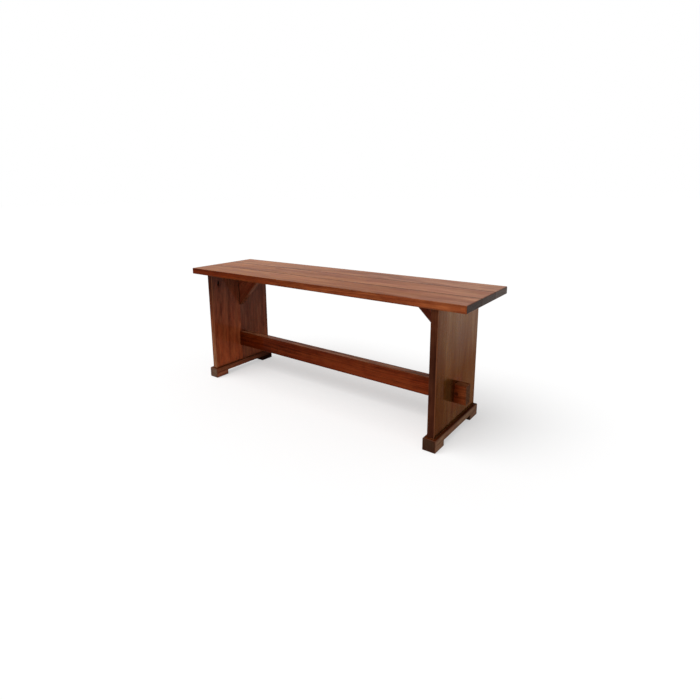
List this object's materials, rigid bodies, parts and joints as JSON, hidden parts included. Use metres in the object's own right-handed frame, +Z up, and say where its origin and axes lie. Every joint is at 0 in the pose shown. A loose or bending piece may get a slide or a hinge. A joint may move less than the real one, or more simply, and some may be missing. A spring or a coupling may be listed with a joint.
{
  "type": "trestle bench",
  "caption": "Backless trestle bench: plank seat on two panel ends with shoe feet, tied by a pegged stretcher and corner braces.",
  "frame": {"origin": "on the floor, under the middle of the bench", "axes": "+X along the seat, +Y from the front edge to the rear edge, +Z up"},
  "size_m": [1.206, 0.33, 0.467],
  "materials": {
    "seat_wood": "dark red-brown stain under clear gloss lacquer",
    "panel_wood": "dark red-brown stain under clear gloss lacquer",
    "shoe_wood": "dark red-brown stain under clear gloss lacquer",
    "stretcher_wood": "dark red-brown stain under clear gloss lacquer",
    "brace_wood": "dark red-brown stain under clear gloss lacquer",
    "peg_wood": "dark red-brown stain under clear gloss lacquer",
    "dowel_wood": "bare, glued",
    "screw_steel": "dull zinc"
  },
  "bodies": {
    "root": {"seat_board_front": "seat_wood", "seat_board_middle": "seat_wood", "seat_board_rear": "seat_wood", "end_panel_left": "panel_wood", "end_panel_right": "panel_wood", "shoe_rail_left": "shoe_wood", "shoe_rail_right": "shoe_wood", "foot_pad_left_front": "shoe_wood", "foot_pad_left_rear": "shoe_wood", "foot_pad_right_front": "shoe_wood", "foot_pad_right_rear": "shoe_wood", "stretcher": "stretcher_wood", "tenon_peg_left": "peg_wood", "tenon_peg_right": "peg_wood", "corner_brace_left": "brace_wood", "corner_brace_right": "brace_wood", "seat_dowels_front": "dowel_wood", "seat_dowels_rear": "dowel_wood", "pocket_screws_left": "screw_steel", "pocket_screws_right": "screw_steel", "brace_screws_left": "screw_steel", "brace_screws_right": "screw_steel", "rail_screws_left": "screw_steel", "rail_screws_right": "screw_steel", "pad_screws_left": "screw_steel", "pad_screws_right": "screw_steel"}
  },
  "joints": []
}
